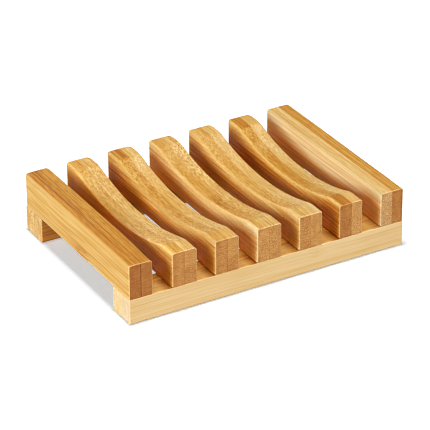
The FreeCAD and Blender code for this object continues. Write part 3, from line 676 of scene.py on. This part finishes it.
RAILS = [
    # node, y of the glue face, way out from it
    ("front_rail_outer_strip", -DEPTH / 2 + RAIL_STRIP, -1), ("front_rail_inner_strip", -DEPTH / 2 + RAIL_STRIP, 1),
    ("rear_rail_inner_strip", DEPTH / 2 - RAIL_STRIP, -1), ("rear_rail_outer_strip", DEPTH / 2 - RAIL_STRIP, 1),
]
for k, (node, yg, way) in enumerate(RAILS):
    outer = "outer" in node
    obj = strip_piece(
        node + ".bamboo", LENGTH + 0.5, RAIL_STRIP, lambda s: RAIL_TOP, lambda s: 0.0,
        lambda s, a, b, yg=yg, way=way: (s + 0.25, yg + way * a, b), seed=61 + k,
        r_top=(0.3, 0.3), r_low=(2.0 if "rear" in node else 0.5) if outer else 0.4, ease=(0.35, 0.35), corner=(0.35, 0.8), heel=(0.35, 1.3),
        stations=81)
    if not outer:
        lean = 2.5 if "front" in node else -2.5
        drill(obj, [((i - 3) * PITCH + lean, yg + way * RAIL_STRIP / 2) for i in range(7)], 1.0, 1.2)
    # corners paints shade on the rail tops at the feet of the slats
    look = dict(bands=0.04, patch=0.1, lines=0.18, line_dark=0.2, pale=0.2, dots=0.0, halo=0.0, end_scale=tan, end_dots=0.3,
                end_light=0.2, end_saw=0.2, seam_end=0.0, rim=0.15, brow=0.3, face_scale=2.0, corners=[((i - 2) * PITCH - STRIP - WIDER[i + 1][0][0], w) for i, w in enumerate((0.84, 0.84, 0.90, 0.70, 0.92, 0.60))], tint=(0.97, 0.985, 1.12))
    look.update(LOOK[node])
    mat = bamboo("bamboo_" + node, "X", yg, way, RAIL_STRIP, seed=41 + k, **look)
    finish_piece(obj, node, mat)


def brad_steel():
    m = bpy.data.materials.new("brad_wire_steel")
    N = Nodes(m)
    place = N.new("ShaderNodeTexCoord").outputs["Object"]
    drawn = N.noise(place, 2600.0, 3.0, 0.6)
    shader = N.new("ShaderNodeBsdfPrincipled")
    N.put(shader.inputs["Base Color"], N.mix(N.span(drawn, 0.3, 0.7), lin(168, 168, 172), lin(205, 204, 203)))
    shader.inputs["Metallic"].default_value = 1.0
    N.put(shader.inputs["Roughness"], N.span(drawn, 0.3, 0.7, 0.28, 0.5))
    out = N.new("ShaderNodeOutputMaterial")
    N.put(out.inputs["Surface"], shader.outputs[0])
    return m


steel = brad_steel()
for node in ("front_rail_brads", "rear_rail_brads"):
    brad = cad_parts[node]
    for s in brad.material_slots:
        s.material = steel
    if not brad.material_slots:
        brad.data.materials.append(steel)

# ------------------------------------------------------------------ floor, light, camera
floor_mesh = bpy.data.meshes.new("floor")
span = 3.0
floor_mesh.from_pydata([(-span, -span, 0), (span, -span, 0), (span, span, 0), (-span, span, 0)], [], [(0, 1, 2, 3)])
floor = bpy.data.objects.new("floor", floor_mesh)
bpy.context.scene.collection.objects.link(floor)
floor.location.z = -0.00005
white = bpy.data.materials.new("white_sweep")
N = Nodes(white)
shader = N.new("ShaderNodeBsdfPrincipled")
shader.inputs["Base Color"].default_value = (0.58, 0.61, 0.66, 1)
shader.inputs["Roughness"].default_value = 0.9
shader.inputs["Specular IOR Level"].default_value = 0.0
shader.inputs["Emission Color"].default_value = (0.95, 0.985, 1.0, 1)
away = N.new("ShaderNodeVectorMath", operation="LENGTH")
N.put(away.inputs[0], N.new("ShaderNodeTexCoord").outputs["Object"])
glow = N.span(away.outputs["Value"], 0.25, 1.2, 0.635, 1.1)
# painted contact shadow: close to the rails that stand on it the floor's glow is dimmed
split = N.new("ShaderNodeSeparateXYZ")
N.put(split.inputs[0], N.new("ShaderNodeTexCoord").outputs["Object"])
beyond_x = N.math("SUBTRACT", N.math("ABSOLUTE", N.math("SUBTRACT", split.outputs[0], 0.25 * MM)), (LENGTH / 2 + 0.25) * MM)
beyond_y = N.math("SUBTRACT", N.math("ABSOLUTE", N.math("SUBTRACT", N.math("ABSOLUTE", split.outputs[1]), (DEPTH / 2 - RAIL_STRIP) * MM)), RAIL_STRIP * MM)
near = N.new("ShaderNodeVectorMath", operation="LENGTH")
N.put(near.inputs[0], N.vec(N.math("MAXIMUM", beyond_x, 0.0), N.math("MAXIMUM", beyond_y, 0.0), 0.0))
N.put(shader.inputs["Emission Strength"], N.math("MULTIPLY", glow, N.span(near.outputs["Value"], 0.2 * MM, 1.4 * MM, 0.76, 1.0)))
out = N.new("ShaderNodeOutputMaterial")
N.put(out.inputs["Surface"], shader.outputs[0])
floor_mesh.materials.append(white)
floor.visible_diffuse = False

# far off, the floor curves up into a wall all round
bm = bmesh.new()
profile = [(2.0, 0.0)] + [(2.0 + 0.6 * math.sin(math.pi / 2 * k / 10), 0.6 - 0.6 * math.cos(math.pi / 2 * k / 10)) for k in range(1, 11)] + [(2.6, 2.4)]
rings = [[bm.verts.new((r * math.cos(2 * math.pi * k / 96), r * math.sin(2 * math.pi * k / 96), h)) for k in range(96)] for r, h in profile]
for low, high in zip(rings, rings[1:]):
    for k in range(96):
        bm.faces.new((low[k], low[(k + 1) % 96], high[(k + 1) % 96], high[k])).smooth = True
sweep_mesh = bpy.data.meshes.new("sweep")
bm.to_mesh(sweep_mesh)
bm.free()
sweep = bpy.data.objects.new("sweep", sweep_mesh)
bpy.context.scene.collection.objects.link(sweep)
sweep_mesh.materials.append(white)
sweep.visible_diffuse = sweep.visible_glossy = sweep.visible_shadow = False

world = bpy.data.worlds.new("studio")
bpy.context.scene.world = world
world.use_nodes = True
bg = world.node_tree.nodes.get("Background") or world.node_tree.nodes.new("ShaderNodeBackground")
bg.inputs["Color"].default_value = (1.0, 0.80, 0.60, 1)
bg.inputs["Strength"].default_value = 0.15
wout = world.node_tree.nodes.get("World Output") or world.node_tree.nodes.new("ShaderNodeOutputWorld")
world.node_tree.links.new(bg.outputs[0], wout.inputs[0])


on_dish = bpy.data.collections.new("lit_dish")
for obj in pieces + [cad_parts[n] for n in ("front_rail_brads", "rear_rail_brads")]:
    on_dish.objects.link(obj)
on_floor = bpy.data.collections.new("lit_floor")
on_floor.objects.link(floor)


def softbox(name, spot, aim, size, power, lit):
    light = bpy.data.lights.new(name, "AREA")
    light.shape = "ELLIPSE"
    light.size, light.size_y = size
    light.energy = power
    obj = bpy.data.objects.new(name, light)
    bpy.context.scene.collection.objects.link(obj)
    obj.location = spot
    obj.rotation_mode = "QUATERNION"
    obj.rotation_quaternion = (Vector(aim) - Vector(spot)).to_track_quat("-Z", "Y")
    obj.light_linking.receiver_collection = lit
    return obj


softbox("key_left", (-0.78, -0.17, 0.29), (0, 0, 0.012), (1.2, 0.5), 7.9, on_dish)
softbox("top", (0.0, -0.30, 0.86), (0, 0, 0.012), (0.36, 0.36), 2.6, on_dish)
softbox("front", (0.10, -1.0, 0.30), (0, 0, 0.012), (0.7, 0.4), 6.0, on_dish)
softbox("rear", (0.0, 1.0, 0.30), (0, 0, 0.012), (0.7, 0.4), 5.0, on_dish)
softbox("right", (1.0, 0.0, 0.30), (0, 0, 0.012), (0.7, 0.4), 4.0, on_dish)
softbox("floor_light", (-0.05, 0.0, 1.0), (-0.05, 0, 0), (0.2, 0.2), 6.8, on_floor)

# The camera stands where the photograph's did, worked out from the dish's straight edges.
AZ, EL, ROLL = math.radians(-29.914), math.radians(28.743), math.radians(-0.255)
right = Vector((math.cos(AZ), math.sin(AZ), 0))
back = Vector((math.sin(AZ) * math.cos(EL), -math.cos(AZ) * math.cos(EL), math.sin(EL)))
up = back.cross(right)
cam_x = right * math.cos(ROLL) + up * math.sin(ROLL)
cam_y = -right * math.sin(ROLL) + up * math.cos(ROLL)
spot = Vector((0, 0, 12.0)) + cam_x * 0.78 - cam_y * 2.02 + back * 1031.96
cam_data = bpy.data.cameras.new("camera")
cam_data.sensor_fit = "HORIZONTAL"
cam_data.sensor_width = 36.0
cam_data.lens = 36.0 * 2652.2 / 430.0
cam_data.clip_start, cam_data.clip_end = 0.01, 100.0
cam = bpy.data.objects.new("camera", cam_data)
bpy.context.scene.collection.objects.link(cam)
cam.matrix_world = Matrix((
    (cam_x.x, cam_y.x, back.x, spot.x * MM), (cam_x.y, cam_y.y, back.y, spot.y * MM),
    (cam_x.z, cam_y.z, back.z, spot.z * MM), (0, 0, 0, 1)))
bpy.context.scene.camera = cam

bpy.context.scene.view_settings.view_transform = "Standard"
bpy.context.scene.view_settings.look = "None"
bpy.context.scene.view_settings.gamma = 0.8

# a trace of sharpening, as in the photograph
bpy.context.scene.use_nodes = True
tree = bpy.context.scene.node_tree
tree.nodes.clear()
taken = tree.nodes.new("CompositorNodeRLayers")
held = tree.nodes.new("CompositorNodeMixRGB")
held.blend_type, held.use_clamp = "MIX", True
held.inputs[0].default_value = 0.0
even, crisp, back_again = (tree.nodes.new(k) for k in ("CompositorNodeGamma", "CompositorNodeFilter", "CompositorNodeGamma"))
even.inputs["Gamma"].default_value = 1 / 2.2
crisp.filter_type = "SHARPEN"
crisp.inputs["Fac"].default_value = 0.05
back_again.inputs["Gamma"].default_value = 2.2
shown = tree.nodes.new("CompositorNodeComposite")
tree.links.new(taken.outputs["Image"], held.inputs[1])
tree.links.new(held.outputs[0], even.inputs["Image"])
tree.links.new(even.outputs["Image"], crisp.inputs["Image"])
tree.links.new(crisp.outputs["Image"], back_again.inputs["Image"])
tree.links.new(back_again.outputs["Image"], shown.inputs["Image"])
